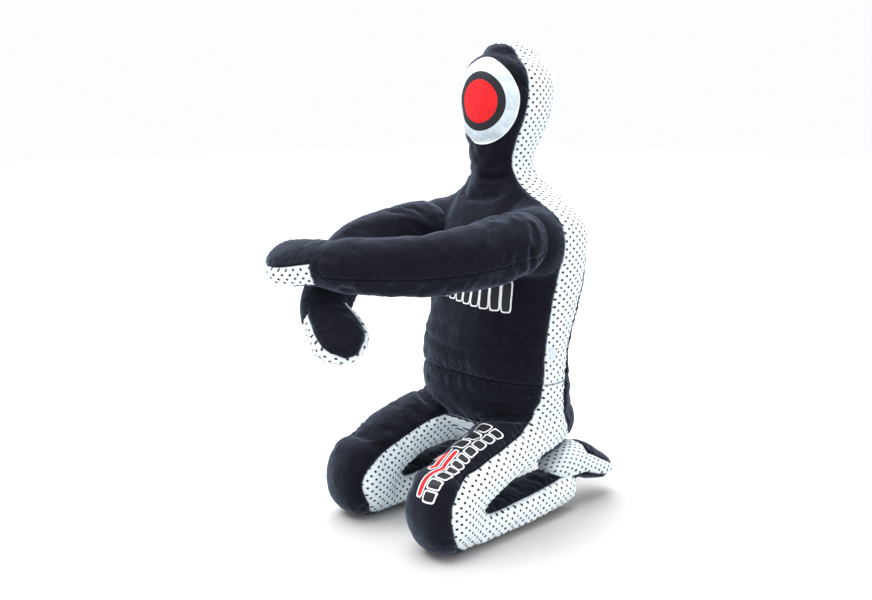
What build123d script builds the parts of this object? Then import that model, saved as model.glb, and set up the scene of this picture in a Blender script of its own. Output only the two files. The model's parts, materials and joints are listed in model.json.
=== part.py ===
"""A kneeling grappling dummy: stuffed fabric limbs, sewn from panels, that bend at soft joints.

The dummy sits back on its heels and faces -Y. Its left side is +X and up is +Z. Every limb is a
block of stuffing inside sewn fabric panels. Where two limbs meet, one ends in a ball or a roll of
stuffing about the joint's axis and the next has a socket for it, so the limbs turn without meeting.
"""

import os

from build123d import *
from math import sqrt

os.makedirs("parts", exist_ok=True)

# Driving dimensions, in millimetres. Heights are above the floor.
HEIGHT = 1100.0
SKIN = 2.5  # fabric with its lining
EASE = 0.3  # between the fabric and the stuffing
PLAY = 0.5  # between a ball and its socket
WEDGE_EXTRA = 0.6  # degrees of room past each joint limit
ORIGIN_Y = 145.22  # the body's own middle line lies this far in front of the box's centre
FAR = 900.0  # larger than any limb, for cutting tools

# Head, torso and pelvis: height, half width, half depth and how far back the centre lies.
HEAD = [
    (838, 76, 75, 36),
    (872, 84, 85, 36),
    (918, 97, 99, 42),
    (970, 107, 108, 49),
    (1020, 103, 105, 54),
    (1062, 82, 85, 57),
    (1087, 52, 55, 59),
    (HEIGHT, 14, 16, 60),
]
TORSO = [
    (340, 205, 136, 0),
    (400, 206, 139, 12),
    (470, 210, 142, 28),
    (560, 222, 134, 37),
    (645, 235, 126, 44),
    (700, 229, 111, 46),
    (742, 182, 94, 46),
    (778, 112, 82, 43),
    (803, 82, 77, 38),
]
PELVIS = [
    (128, 132, 92, 52),
    (160, 176, 118, 44),
    (215, 203, 135, 26),
    (285, 209, 140, 10),
    (352, 205, 136, 1),
]
SIDE_BAND = (-34, 42)  # the side gusset's edges, in front of and behind the centre

# Joints of the trunk
NECK = Vector(0, 38, 818)
NECK_BALL = 73.0
WAIST = Vector(0, 4, 346)
WAIST_ROLL = (194.0, 126.0)  # half length and radius of the roll of stuffing
WAIST_RANGE = (-8.0, 8.0)  # back and forward, in degrees

# Arms: joint centres follow from one set of lengths, so both arms are alike.
UPPER_ARM, FOREARM = 218.0, 250.0
SHOULDER_X, SHOULDER_Y, SHOULDER_Z = 160.0, -42.0, 655.0
SHOULDER_BALL = 78.0
ARM_START = 70.0  # from the shoulder's centre to where the upper arm's sleeve starts
ARM_RADII = (76.0, 66.0, 51.0)  # at the shoulder, the elbow and the wrist
WRIST_BALL = 46.0
WRIST_FOLD = (-20.0, 20.0)  # room for the wrist on both sides, in degrees
ARMS = {
    "left": dict(
        side=1,
        upper=Vector(-0.298, -0.951, -0.075),
        fore=Vector(-0.662, -0.748, -0.050),
        hand=Vector(-0.900, -0.420, -0.040),
        palm=Vector(-0.19, 0.40, -0.89),
        elbow=(-24.0, 0.0),
    ),
    "right": dict(
        side=-1,
        upper=Vector(-0.075, -0.985, -0.150),
        fore=Vector(0.400, -0.767, -0.500),
        hand=Vector(0.775, -0.011, -0.632),
        palm=Vector(-0.59, 0.30, -0.72),
        elbow=(0.0, 30.0),
    ),
}
HAND_THICK = 54.0
HAND_ROUNDS = ((24.0, 45.0), (78.0, 58.0))  # how far along, and the radius there

# Legs, of the left side; the right ones are mirrored.
LEG_X = 137.0
HIP = Vector(LEG_X, 40, 205)
HIP_ROLL = 84.0
KNEE = Vector(LEG_X, -280, 95)
KNEE_ROLL = 92.0
THIGH_WIDTH = 154.0
THIGH_UNDERSIDE = 114.0  # height of the slit's upper edge at the knee
HIP_RANGE = (0.0, 8.0)
SHIN_YAW = 3.2  # the shins spread towards the feet, in degrees
SHIN_LENGTH = 352.0
SHIN_TOP = 86.0
SHIN_WIDTH = (150.0, 118.0)
ANKLE_Z, ANKLE_ROLL = 44.0, 42.0
FOOT_WIDTH = 96.0

FOOT_OVER = [(160, 12), (118, 34), (66, 58), (34, 74), (0, 78), (-26, 70), (-30, 58)]
FOOT_UNDER = [(20, 26), (20, -36), (34, -43), (150, -43), (168, -20)]

# Zip in the middle of the back
ZIP_FACE_Y = 170.4
ZIP_TOP, ZIP_BOTTOM = 652.0, 452.0
TAPE_WIDTH, TAPE_THICK = 30.0, 1.0
TOOTH_PITCH, TOOTH_SIZE = 4.0, (5.2, 1.8, 1.9)

SLIDER_Z = ZIP_TOP - 12.0
SLIDER_SIZE = (11.0, 1.4, 14.0)
PULL_SIZE = (7.0, 1.6, 30.0)
PULL_PIN = Vector(0, ZIP_FACE_Y + 5.5, SLIDER_Z)

# The printed target on the face: height of its centre and its half sizes
TARGET = (962.0, 76.0, 92.0)
PATCH = 0.8

# The printed bars across the chest and the label on the left gusset
CHEST_PRINT = (-150.0, 462.0, 34.0, 46.0, 7)  # first x, height, pitch, bar height, count
LABEL = (430.0, 34.0, 22.0)  # height, and its size up and across


def save(name, part):
    """Writes one node, with the box's bottom centre as the origin."""
    moved = part.moved(Location((0, ORIGIN_Y, 0)))
    moved.label = name
    export_step(moved, f"parts/{name}.step")


def only(*parts):
    """One node made of several separate solids."""
    return Compound(children=[s for p in parts for s in p.solids()])


def mirrored(part):
    return mirror(part, about=Plane.YZ)


def loft_of(sections, inset=0.0, crown=False):
    """A body lofted through ellipses. inset makes it smaller all round; crown lowers its top too."""
    with BuildPart() as body:
        for i, (z, half_x, half_y, y) in enumerate(sections):
            low = inset * max(0, i - len(sections) + 4) / 3 if crown else 0
            with BuildSketch(Plane.XY.offset(z - low)):
                with Locations((0, y)):
                    Ellipse(half_x - inset, half_y - inset)
        loft()
    return body.part


def side_band(sections, front, back):
    """A slab across the body that follows its middle line, from front to back of it."""
    edge = [(y, z) for z, _, _, y in sections]
    edge = [(edge[0][0], edge[0][1] - FAR), *edge, (edge[-1][0], edge[-1][1] + FAR)]
    with BuildPart() as band:
        with BuildSketch(Plane.YZ):
            with BuildLine():
                ahead = [(y + front, z) for y, z in edge]
                behind = [(y + back, z) for y, z in reversed(edge)]
                Polyline(*ahead, *behind, close=True)
            make_face()
        extrude(amount=FAR, both=True)
    return band.part


def ball(centre, radius, along=(0, 0, 1)):
    """A ball whose poles lie along the limb that it ends."""
    with BuildPart(Plane(origin=centre, z_dir=along)) as made:
        Sphere(radius)
    return made.part


def roll(centre, radius, width):
    """A cylinder along X, for a joint that only folds."""
    with BuildPart(Plane(origin=centre, x_dir=(0, 1, 0), z_dir=(1, 0, 0))) as made:
        Cylinder(radius, width)
    return made.part


def half_space(centre, normal):
    """Everything on the side of a plane that its normal points to."""
    with BuildPart(Plane(origin=centre, z_dir=normal)) as made:
        Box(2 * FAR, 2 * FAR, FAR, align=(Align.CENTER, Align.CENTER, Align.MIN))
    return made.part


def whole(result):
    """One shape, also where an operation leaves several solids."""
    if isinstance(result, (list, tuple)):
        return Part() + [Part(s.wrapped) for s in result] if result else Part()
    return result


def cut(part, *tools):
    for tool in tools:
        part = whole(part - tool)
    return part


def kept(part, *tools):
    for tool in tools:
        part = whole(part & tool)
    return part


def turned(vector, axis, degrees):
    return vector.rotate(Axis((0, 0, 0), axis), degrees)


# Trunk -----------------------------------------------------------------------------------------


def panels_of(sections, crown=False):
    """Front panel, side gusset and back panel of a lofted body."""
    shell = cut(loft_of(sections), loft_of(sections, SKIN, crown))
    front, back = SIDE_BAND
    ahead = side_band(sections, -FAR, front)
    behind = side_band(sections, back, FAR)
    return (
        kept(shell, ahead),
        kept(shell, side_band(sections, front, back)),
        kept(shell, behind),
    )


def film(sections, stamp):
    """A thin printed layer on a lofted body, as far as the stamp reaches."""
    layer = cut(loft_of(sections, -PATCH - 0.1), loft_of(sections, -0.1))
    return kept(layer, stamp)


def make_head():
    neck = ball(NECK, NECK_BALL)
    names = ("face_panel", "head_gusset", "head_back_panel")
    for name, panel in zip(names, panels_of(HEAD, crown=True)):
        save(name, cut(panel, neck))
    save("head_stuffing", loft_of(HEAD, SKIN + EASE, crown=True) + neck)
    height, half_x, half_z = TARGET
    with BuildPart() as stamp:
        with BuildSketch(Plane.XZ):
            with Locations((0, height)):
                Ellipse(half_x, half_z)
        extrude(amount=FAR)
    save("target_patch", film(HEAD, stamp.part))


def make_prints():
    first, height, pitch, tall, count = CHEST_PRINT
    with BuildPart() as bars:
        with BuildSketch(Plane.XZ):
            spots = [(first + pitch * i + pitch * 1.41, height) for i in range(count)]
            with Locations(*spots):
                Rectangle(pitch * 0.72, tall)
        extrude(amount=FAR)
    save("chest_print", film(TORSO, bars.part))
    height, tall, wide = LABEL
    with BuildPart(Plane(origin=(FAR / 2, 18, height))) as tag:
        Box(FAR, wide, tall)
    save("side_label", film(TORSO, tag.part))


def waist_cut(sign):
    """The two half spaces that bound the torso (sign 1) or the pelvis (sign -1) at the waist."""
    back, front = WAIST_RANGE
    return [
        half_space(WAIST, turned(Vector(0, 0, sign), (1, 0, 0), angle * sign))
        for angle in (front / 2 + WEDGE_EXTRA, back / 2 - WEDGE_EXTRA)
    ]


def waist_roll(extra=0.0):
    """The roll of stuffing across the waist, which gets thinner towards its ends."""
    half_length, radius = WAIST_ROLL
    outline = [(share * half_length, sqrt(1 - share**2) * radius) for share in (0, 0.45, 0.75)]
    outline.append((half_length * 0.94, radius * 0.32))
    with BuildPart() as made:
        with BuildSketch(Plane(origin=WAIST)):
            with BuildLine():
                right = [(x + extra, r + extra) for x, r in outline[1:]]
                left = [(-x, r) for x, r in reversed(right)]
                ends = (right[-1][0], 0), (left[0][0], 0)
                Polyline(ends[1], *left, (0, radius + extra), *right, ends[0], close=True)
            make_face()
        revolve(axis=Axis(WAIST, (1, 0, 0)))
    return made.part


def shoulder_of(side):
    return Vector(side * SHOULDER_X, SHOULDER_Y, SHOULDER_Z)


def zip_pocket():
    """The shallow flat that the zip's tapes lie in."""
    height = ZIP_TOP - ZIP_BOTTOM + 16
    where = Plane(origin=(0, ZIP_FACE_Y - TAPE_THICK - 0.2, ZIP_BOTTOM - 8))
    with BuildPart(where) as made:
        Box(TAPE_WIDTH + 0.6, 40, height, align=(Align.CENTER, Align.MIN, Align.MIN))
    return made.part


def torso_sockets():
    """Room for the neck, the two shoulders and the roll at the waist."""
    shoulders = [ball(shoulder_of(side), SHOULDER_BALL + PLAY) for side in (1, -1)]
    return [ball(NECK, NECK_BALL + PLAY), *shoulders, waist_roll(PLAY)]


def make_torso():
    front, side, back = (kept(p, *waist_cut(1)) for p in panels_of(TORSO))
    save("chest_panel", cut(front, *torso_sockets()))
    save("torso_gussets", cut(side, *torso_sockets()))
    save("torso_back_panel", cut(back, *torso_sockets(), zip_pocket()))
    core = kept(loft_of(TORSO, SKIN + EASE), *waist_cut(1))
    save("torso_stuffing", cut(core, *torso_sockets(), zip_pocket()))


def make_zip():
    length = ZIP_TOP - ZIP_BOTTOM
    middle = ZIP_BOTTOM + length / 2
    face = ZIP_FACE_Y - TAPE_THICK / 2
    half_tape = TAPE_WIDTH / 2 - 0.6
    tapes = []
    for side in (1, -1):
        with BuildPart(Plane(origin=(side * (0.3 + half_tape / 2), face, middle))) as tape:
            Box(half_tape, TAPE_THICK, length)
        tapes.append(tape.part)
    save("zip_tapes", only(*tapes))
    wide, deep, tall = TOOTH_SIZE
    count = int((length - 14) / TOOTH_PITCH)
    rows = []
    for side in (1, -1):
        start = ZIP_BOTTOM + 5 + (TOOTH_PITCH / 2 if side < 0 else 0)
        place = Plane(origin=(side * wide * 0.32, ZIP_FACE_Y + deep / 2 + 0.02, start))
        with BuildPart(place) as row:
            spots = [(0, 0, TOOTH_PITCH * i) for i in range(count)]
            with Locations(*spots):
                Box(wide, deep, tall)
        rows.append(row.part)
    with BuildPart(Plane(origin=(0, ZIP_FACE_Y + deep / 2 + 0.02, ZIP_BOTTOM + 1.2))) as stop:
        Box(wide * 1.6, deep, 3.4)
    save("zip_teeth", only(*rows, stop.part))


def make_zip_slider():
    wide, deep, tall = SLIDER_SIZE
    plate_y = ZIP_FACE_Y + TOOTH_SIZE[1] + 0.3
    with BuildPart(Plane(origin=(0, plate_y, SLIDER_Z))) as slider:
        Box(wide, deep, tall, align=(Align.CENTER, Align.MIN, Align.CENTER))
        fillet(slider.edges().filter_by(Axis.Y), 3.0)
        with Locations((wide / 2 - 0.5, -1.5, 0), (0.5 - wide / 2, -1.5, 0)):
            Box(1.0, 2.0, tall * 0.7, align=(Align.CENTER, Align.MIN, Align.CENTER))
    arch = []
    for side in (1, -1):
        with BuildPart(Plane(origin=(0, plate_y + deep, SLIDER_Z + side * 5))) as post:
            Box(1.6, 5.0, 1.2, align=(Align.CENTER, Align.MIN, Align.CENTER))
        arch.append(post.part)
    with BuildPart(Plane(origin=(0, plate_y + deep + 4.0, SLIDER_Z))) as bridge:
        Box(1.6, 1.2, 11.2, align=(Align.CENTER, Align.MIN, Align.CENTER))
    save("zip_slider", slider.part + arch[0] + arch[1] + bridge.part)
    wide, thick, long = PULL_SIZE
    with BuildPart() as pull:
        with BuildSketch(Plane(origin=PULL_PIN, x_dir=(1, 0, 0), z_dir=(0, 1, 0))):
            with Locations((0, long / 2 - 1.6)):
                RectangleRounded(wide, long, 1.5)
            with Locations((0, 5.0)):
                RectangleRounded(wide - 2.6, 7.2, 1.0, mode=Mode.SUBTRACT)
        extrude(amount=thick / 2, both=True)
    save("zip_pull", pull.part)


# Arms ------------------------------------------------------------------------------------------


def taper(start, along, length, radii, inset=0.0):
    """A tapered limb between two joints."""
    low, high = (r - inset for r in radii)
    with BuildPart(Plane(origin=start, z_dir=along)) as made:
        Cone(low, high, length, align=(Align.CENTER, Align.CENTER, Align.MIN))
    return made.part


def fold_faces(span, joint, before, after, sign):
    """The half spaces that bound the limb before the elbow (sign -1) or after it (sign 1)."""
    axis = before.cross(after).normalized()
    middle = (before + after).normalized()
    low, high = span
    turns = (-sign * (high / 2 + WEDGE_EXTRA), -sign * (low / 2 - WEDGE_EXTRA))
    return [half_space(joint, turned(middle, axis, turn) * sign) for turn in turns]


def arm_line(spec):
    """The arm's joints and the directions of its three parts."""
    upper, fore, hand = (spec[k].normalized() for k in ("upper", "fore", "hand"))
    shoulder = shoulder_of(spec["side"])
    elbow = shoulder + upper * UPPER_ARM
    wrist = elbow + fore * FOREARM
    return shoulder, elbow, wrist, upper, fore, hand


def make_arm(name, spec):
    shoulder, elbow, wrist, upper, fore, hand = arm_line(spec)
    at_shoulder, at_elbow, at_wrist = ARM_RADII
    insets = (0.0, SKIN, SKIN + EASE)
    elbow_ball = at_elbow - 8

    start = shoulder + upper * ARM_START
    length = UPPER_ARM - ARM_START
    faces = fold_faces(spec["elbow"], elbow, upper, fore, -1)
    limb = [taper(start, upper, length + 40, (at_shoulder, at_elbow - 2), i) for i in insets]
    outer, inner, core = (kept(part, *faces) for part in limb)
    tube = cut(outer, inner)
    save(f"{name}_upper_sleeve", tube)
    stuffing = core + ball(shoulder, SHOULDER_BALL, upper) + ball(elbow, elbow_ball, upper)
    save(f"{name}_upper_arm_stuffing", stuffing)

    faces = fold_faces(spec["elbow"], elbow, upper, fore, 1)
    faces += fold_faces(WRIST_FOLD, wrist, fore, hand, -1)
    begin = elbow - fore * 40
    limb = [taper(begin, fore, FOREARM + 4, (at_elbow + 2, at_wrist), i) for i in insets]
    outer, inner, core = (kept(part, *faces) for part in limb)
    wrist_end = ball(wrist, WRIST_BALL, fore)
    save(f"{name}_forearm_sleeve", cut(outer, inner))
    seated = cut(core, ball(elbow, elbow_ball + PLAY, fore))
    save(f"{name}_forearm_stuffing", seated + wrist_end)
    make_hand(name, wrist, hand, spec["palm"], fold_faces(WRIST_FOLD, wrist, fore, hand, 1))


def hand_block(place, inset, thick):
    """A mitten's outline, extruded each way from its middle plane."""
    (near, small), (far, large) = HAND_ROUNDS
    with BuildPart() as made:
        with BuildSketch(place):
            with Locations((near, 0)):
                Circle(small - inset)
            with Locations((far, 0)):
                Circle(large - inset)
            make_hull()
        extrude(amount=thick / 2, both=True)
    return made.part


def make_hand(name, wrist, along, palm, faces):
    facing = (palm - along * palm.dot(along)).normalized()
    place = Plane(origin=wrist, x_dir=along, z_dir=facing)
    seat = ball(wrist, WRIST_BALL + PLAY)
    inside = HAND_THICK - 2 * SKIN
    ring = cut(hand_block(place, 0.0, inside), hand_block(place, SKIN, HAND_THICK))
    save(f"{name}_hand_gusset", kept(cut(ring, seat), *faces))
    core = hand_block(place, SKIN + EASE, inside - 2 * EASE)
    save(f"{name}_hand_stuffing", kept(cut(core, seat), *faces))
    plates = cut(hand_block(place, 0.0, HAND_THICK), hand_block(place, -1.0, inside), seat)
    plates = kept(plates, *faces)
    save(f"{name}_palm_panel", kept(plates, half_space(wrist, facing)))
    save(f"{name}_hand_back_panel", kept(plates, half_space(wrist, facing * -1)))


# Legs ------------------------------------------------------------------------------------------


def slab(middle, wide):
    """Everything near an upright plane across X."""
    with BuildPart(Plane(origin=(middle, 0, 0))) as made:
        Box(wide, 2 * FAR, 2 * FAR)
    return made.part


def save_pair(name, part):
    save(f"left_{name}", part)
    save(f"right_{name}", mirrored(part))


def thigh_block(inset):
    """Thigh and knee in one piece. The slit above the calf is its underside."""
    floor_of_slit = THIGH_UNDERSIDE + inset
    end = HIP.Y + 150
    with BuildPart() as made:
        with BuildSketch(Plane.YZ.offset(LEG_X)):
            with Locations((HIP.Y, HIP.Z)):
                Circle(HIP_ROLL - inset)
            with Locations((KNEE.Y, KNEE.Z)):
                Circle(KNEE_ROLL - inset)
            make_hull()
            with BuildLine():
                corners = [(KNEE.Y, floor_of_slit), (end, floor_of_slit + 20)]
                Polyline(*corners, (end, -200), (KNEE.Y, -200), close=True)
            make_face(mode=Mode.SUBTRACT)
            with Locations((KNEE.Y, KNEE.Z)):
                Circle(KNEE_ROLL - inset)
        extrude(amount=THIGH_WIDTH / 2 - inset, both=True)
    return made.part


def hip_room():
    """The space in the pelvis that the thigh sweeps, from rest to its highest."""
    reach = (KNEE - HIP).normalized()
    lifted = turned(reach, (-1, 0, 0), HIP_RANGE[1] + WEDGE_EXTRA)
    radius = HIP_ROLL + PLAY + 8
    rise = Vector(0, lifted.Z, -lifted.Y)
    top = HIP + rise * radius
    end = top + lifted * FAR
    with BuildPart() as made:
        with BuildSketch(Plane.YZ.offset(LEG_X)):
            with Locations((HIP.Y, HIP.Z)):
                Circle(HIP_ROLL + PLAY)
            with BuildLine():
                corners = [(HIP.Y, HIP.Z), (top.Y, top.Z), (end.Y, end.Z), (end.Y, -FAR)]
                Polyline(*corners, (HIP.Y, -FAR), close=True)
            make_face()
        extrude(amount=THIGH_WIDTH / 2 + PLAY, both=True)
    return made.part


def hip_rooms():
    return hip_room(), mirrored(hip_room())


def make_pelvis():
    names = ("belly_panel", "hip_gussets", "seat_panel")
    for name, panel in zip(names, panels_of(PELVIS)):
        save(name, cut(kept(panel, *waist_cut(-1)), *hip_rooms(), waist_roll(0.0)))
    core = kept(loft_of(PELVIS, SKIN + EASE), *waist_cut(-1))
    save("pelvis_stuffing", cut(core + waist_roll(-EASE), *hip_rooms()))


def make_thighs():
    shell = cut(thigh_block(0.0), thigh_block(SKIN))
    middle = slab(LEG_X, THIGH_WIDTH - 2 * SKIN)
    save_pair("thigh_gussets", cut(shell, middle))
    bands = kept(shell, middle)
    slit_start = KNEE.Y + sqrt(KNEE_ROLL**2 - (THIGH_UNDERSIDE - KNEE.Z) ** 2)
    with BuildPart() as under:
        with BuildSketch(Plane.YZ):
            with BuildLine():
                near, far = slit_start - 4, HIP.Y + 200
                bottom, top = KNEE.Z - 5, HIP.Z
                corners = [(near, bottom), (near, bottom + 30), (HIP.Y, top), (far, top), (far, bottom)]
                Polyline(*corners, close=True)
            make_face()
        extrude(amount=FAR, both=True)
    save_pair("thigh_front_panel", cut(bands, under.part))
    save_pair("thigh_back_panel", kept(bands, under.part))
    save_pair("thigh_stuffing", thigh_block(SKIN + EASE))


def leg_plane():
    """The lower leg's own upright plane through the knee: x runs back along it, y is up."""
    back = turned(Vector(0, 1, 0), (0, 0, 1), -SHIN_YAW)
    return Plane(origin=(KNEE.X, KNEE.Y, 0), x_dir=back, z_dir=back.cross(Vector(0, 0, 1)))


def across(narrower):
    """The space between the shin's two sides, which narrow towards the ankle."""
    wide, narrow = (w / 2 - narrower for w in SHIN_WIDTH)
    place = leg_plane()
    end = SHIN_LENGTH + 60
    with BuildPart() as made:
        with BuildSketch(Plane(origin=place.origin, x_dir=place.x_dir, z_dir=(0, 0, 1))):
            with BuildLine():
                half = [(-200, wide), (-20, wide), (end, narrow)]
                Polyline(*half, *[(along, -across) for along, across in reversed(half)], close=True)
            make_face()
        extrude(amount=FAR, both=True)
    return made.part


def shin_block(inset):
    """The shin lies along the floor. Its front end cups the knee and its back end is the ankle."""
    with BuildPart() as made:
        with BuildSketch(leg_plane()):
            with BuildLine():
                low, high = inset, SHIN_TOP - inset
                back = SHIN_LENGTH
                Polyline((32, low), (back, low), (back, high - 8), (100, high), (32, high - 40), close=True)
            make_face()
            with Locations((SHIN_LENGTH, ANKLE_Z)):
                Circle(ANKLE_ROLL - inset)
            with Locations((0, KNEE.Z)):
                Circle(KNEE_ROLL, mode=Mode.SUBTRACT)
        extrude(amount=SHIN_WIDTH[0] / 2 + 5, both=True)
    return cut(kept(made.part, across(inset)), roll(KNEE, KNEE_ROLL + PLAY + inset, 200))


def make_shins():
    shell = cut(shin_block(0.0), shin_block(SKIN))
    middle = across(SKIN)
    save_pair("shin_gussets", cut(shell, middle))
    bands = kept(shell, middle)
    over = half_space((0, 0, SHIN_TOP / 2), (0, 0, 1))
    save_pair("calf_panel", kept(bands, over))
    save_pair("shin_front_panel", cut(bands, over))
    save_pair("shin_stuffing", shin_block(SKIN + EASE))


def foot_plane():
    place = leg_plane()
    ankle = place.origin + place.x_dir * SHIN_LENGTH + Vector(0, 0, ANKLE_Z)
    return Plane(origin=ankle, x_dir=place.x_dir, z_dir=place.z_dir)


def foot_block(inset):
    """The foot trails behind with its sole up, its heel high and its toes low."""
    with BuildPart() as made:
        with BuildSketch(foot_plane()):
            with BuildLine():
                Polyline(*FOOT_OVER, *FOOT_UNDER, close=True)
            make_face()
            if inset:
                offset(amount=-inset)
            Circle(ANKLE_ROLL + PLAY + inset, mode=Mode.SUBTRACT)
        extrude(amount=FOOT_WIDTH / 2 - inset, both=True)
    return made.part


def make_feet():
    place = foot_plane()
    shell = cut(foot_block(0.0), foot_block(SKIN))
    with BuildPart(place) as middle:
        Box(FAR, FAR, FOOT_WIDTH - 2 * SKIN)
    save_pair("foot_gussets", cut(shell, middle.part))
    bands = kept(shell, middle.part)
    sole_up = Vector(0, 0, 1) + place.x_dir * 0.35
    toe = place.origin + place.x_dir * FOOT_OVER[0][0]
    over = half_space(toe - Vector(0, 0, 2), sole_up.normalized())
    save_pair("sole_panel", kept(bands, over))
    save_pair("instep_panel", cut(bands, over))
    save_pair("foot_stuffing", foot_block(SKIN + EASE))


make_head()
make_torso()
make_prints()
make_zip()
make_zip_slider()
make_pelvis()
for arm, arm_spec in ARMS.items():
    make_arm(arm, arm_spec)
make_thighs()
make_shins()
make_feet()
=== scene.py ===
import json
import math

import bmesh
import bpy
import numpy as np
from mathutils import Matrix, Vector, noise
from mathutils.bvhtree import BVHTree


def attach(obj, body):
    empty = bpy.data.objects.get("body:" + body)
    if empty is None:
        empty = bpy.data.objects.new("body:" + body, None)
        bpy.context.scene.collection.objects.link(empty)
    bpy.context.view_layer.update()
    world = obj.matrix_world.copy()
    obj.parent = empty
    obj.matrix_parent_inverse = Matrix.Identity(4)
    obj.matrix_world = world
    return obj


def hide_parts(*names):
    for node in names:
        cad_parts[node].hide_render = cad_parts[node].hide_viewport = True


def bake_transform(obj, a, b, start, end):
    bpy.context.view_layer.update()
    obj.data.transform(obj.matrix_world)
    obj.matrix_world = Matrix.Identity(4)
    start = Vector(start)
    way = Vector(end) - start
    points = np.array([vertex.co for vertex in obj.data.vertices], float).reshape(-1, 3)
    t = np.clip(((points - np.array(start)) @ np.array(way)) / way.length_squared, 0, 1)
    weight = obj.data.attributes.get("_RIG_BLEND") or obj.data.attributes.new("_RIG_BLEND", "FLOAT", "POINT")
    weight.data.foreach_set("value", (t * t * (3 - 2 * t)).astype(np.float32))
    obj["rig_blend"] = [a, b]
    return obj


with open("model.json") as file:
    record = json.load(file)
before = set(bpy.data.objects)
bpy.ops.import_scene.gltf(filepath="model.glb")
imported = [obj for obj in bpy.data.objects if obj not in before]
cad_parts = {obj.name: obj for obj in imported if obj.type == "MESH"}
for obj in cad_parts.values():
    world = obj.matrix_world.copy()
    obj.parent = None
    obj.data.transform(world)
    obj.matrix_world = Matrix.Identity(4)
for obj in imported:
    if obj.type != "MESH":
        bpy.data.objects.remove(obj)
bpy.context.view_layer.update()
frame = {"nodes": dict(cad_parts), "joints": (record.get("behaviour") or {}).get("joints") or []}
JOINT = {j["name"]: j for j in frame["joints"]}
AHEAD = np.array([0.0, JOINT["neck_nod"]["pos_m"][1] - 0.038, 0.0])  # the body's own middle line
scene = bpy.context.scene
VOXEL = 0.0075
FLOOR_GAP = 0.0012  # the lowest that fabric comes, in metres
FLOOR_FELT = 0.006  # below this height the floor flattens it


def joint_at(name):
    return np.array(JOINT[name]["pos_m"]) - AHEAD


# Shapes ------------------------------------------------------------------------------------------


def spline(rows, per_span=8):
    """A Catmull-Rom curve through the rows."""
    rows = np.array(rows, float)
    ends = np.vstack([2 * rows[0] - rows[1], rows, 2 * rows[-1] - rows[-2]])
    out = []
    for i in range(1, len(ends) - 2):
        a, b, c, d = ends[i - 1 : i + 3]
        for t in np.arange(per_span) / per_span:
            square, cube = 2 * a - 5 * b + 4 * c - d, 3 * b - a - 3 * c + d
            out.append(0.5 * (2 * b + (c - a) * t + square * t**2 + cube * t**3))
    out.append(rows[-1])
    return np.array(out)


def tube(rows, side, power=2.3, around=48):
    """A closed limb: x, y, z, half width along side and half depth in each row. Its ends are domes."""
    rows = spline(rows)
    centre, half = rows[:, :3], np.maximum(rows[:, 3:5], 0.002)
    along = np.gradient(centre, axis=0)
    along /= np.linalg.norm(along, axis=1)[:, None]
    rings = []
    angle = np.arange(around) / around * 2 * math.pi
    wave = [np.sign(f(angle)) * np.abs(f(angle)) ** (2 / power) for f in (np.cos, np.sin)]

    def ring(i, scale, shift):
        u = np.array(side, float) - along[i] * np.dot(side, along[i])
        u /= np.linalg.norm(u)
        v = np.cross(along[i], u)
        middle = centre[i] + along[i] * shift
        return middle + scale * (np.outer(wave[0], u) * half[i, 0] + np.outer(wave[1], v) * half[i, 1])

    dome = [math.radians(a) for a in (75, 55, 35, 18)]
    first, last = 0.6 * half[0].min(), 0.6 * half[-1].min()
    rings += [ring(0, math.cos(a), -first * math.sin(a)) for a in dome]
    rings += [ring(i, 1, 0) for i in range(len(centre))]
    rings += [ring(len(centre) - 1, math.cos(a), last * math.sin(a)) for a in reversed(dome)]
    poles = [centre[0] - along[0] * first, centre[-1] + along[-1] * last]
    verts = np.vstack(rings + [poles])
    n, faces = len(rings), []
    for i in range(n - 1):
        for j in range(around):
            k = (j + 1) % around
            faces.append((i * around + j, i * around + k, (i + 1) * around + k, (i + 1) * around + j))
    for j in range(around):
        k = (j + 1) % around
        faces.append((n * around, k, j))
        faces.append((n * around + 1, (n - 1) * around + j, (n - 1) * around + k))
    return verts, faces


def mesh_object(name, verts, faces):
    mesh = bpy.data.meshes.new(name)
    mesh.from_pydata([tuple(v) for v in verts], [], [tuple(f) for f in faces])
    mesh.update()
    obj = bpy.data.objects.new(name, mesh)
    scene.collection.objects.link(obj)
    return obj


def points(mesh):
    co = np.zeros(len(mesh.vertices) * 3, np.float32)
    mesh.vertices.foreach_get("co", co)
    return co.reshape(-1, 3).astype(float)


def normals(mesh):
    no = np.zeros(len(mesh.vertices) * 3, np.float32)
    mesh.vertex_normals.foreach_get("vector", no)
    return no.reshape(-1, 3).astype(float)


def put(mesh, co):
    mesh.vertices.foreach_set("co", co.astype(np.float32).ravel())
    mesh.update()


def applied(obj):
    """Turns the object's modifiers into its mesh."""
    made = bpy.data.meshes.new_from_object(obj.evaluated_get(bpy.context.evaluated_depsgraph_get()))
    obj.modifiers.clear()
    obj.data = made
    return obj


def skin(name, tubes, voxel=VOXEL, smooth=10):
    """One closed skin round several limbs."""
    verts, faces = [], []
    for v, f in tubes:
        faces += [tuple(i + len(verts) for i in face) for face in f]
        verts += list(v)
    obj = mesh_object(name, verts, faces)
    remesh = obj.modifiers.new("remesh", "REMESH")
    remesh.mode = "VOXEL"
    remesh.voxel_size = voxel
    even = obj.modifiers.new("even", "SMOOTH")
    even.factor, even.iterations = 0.5, smooth
    return applied(obj)


PRESSURE = 4.0
SPARE = -0.035  # negative shrinking gives the fabric this share of spare length
FRAMES = 16


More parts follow.
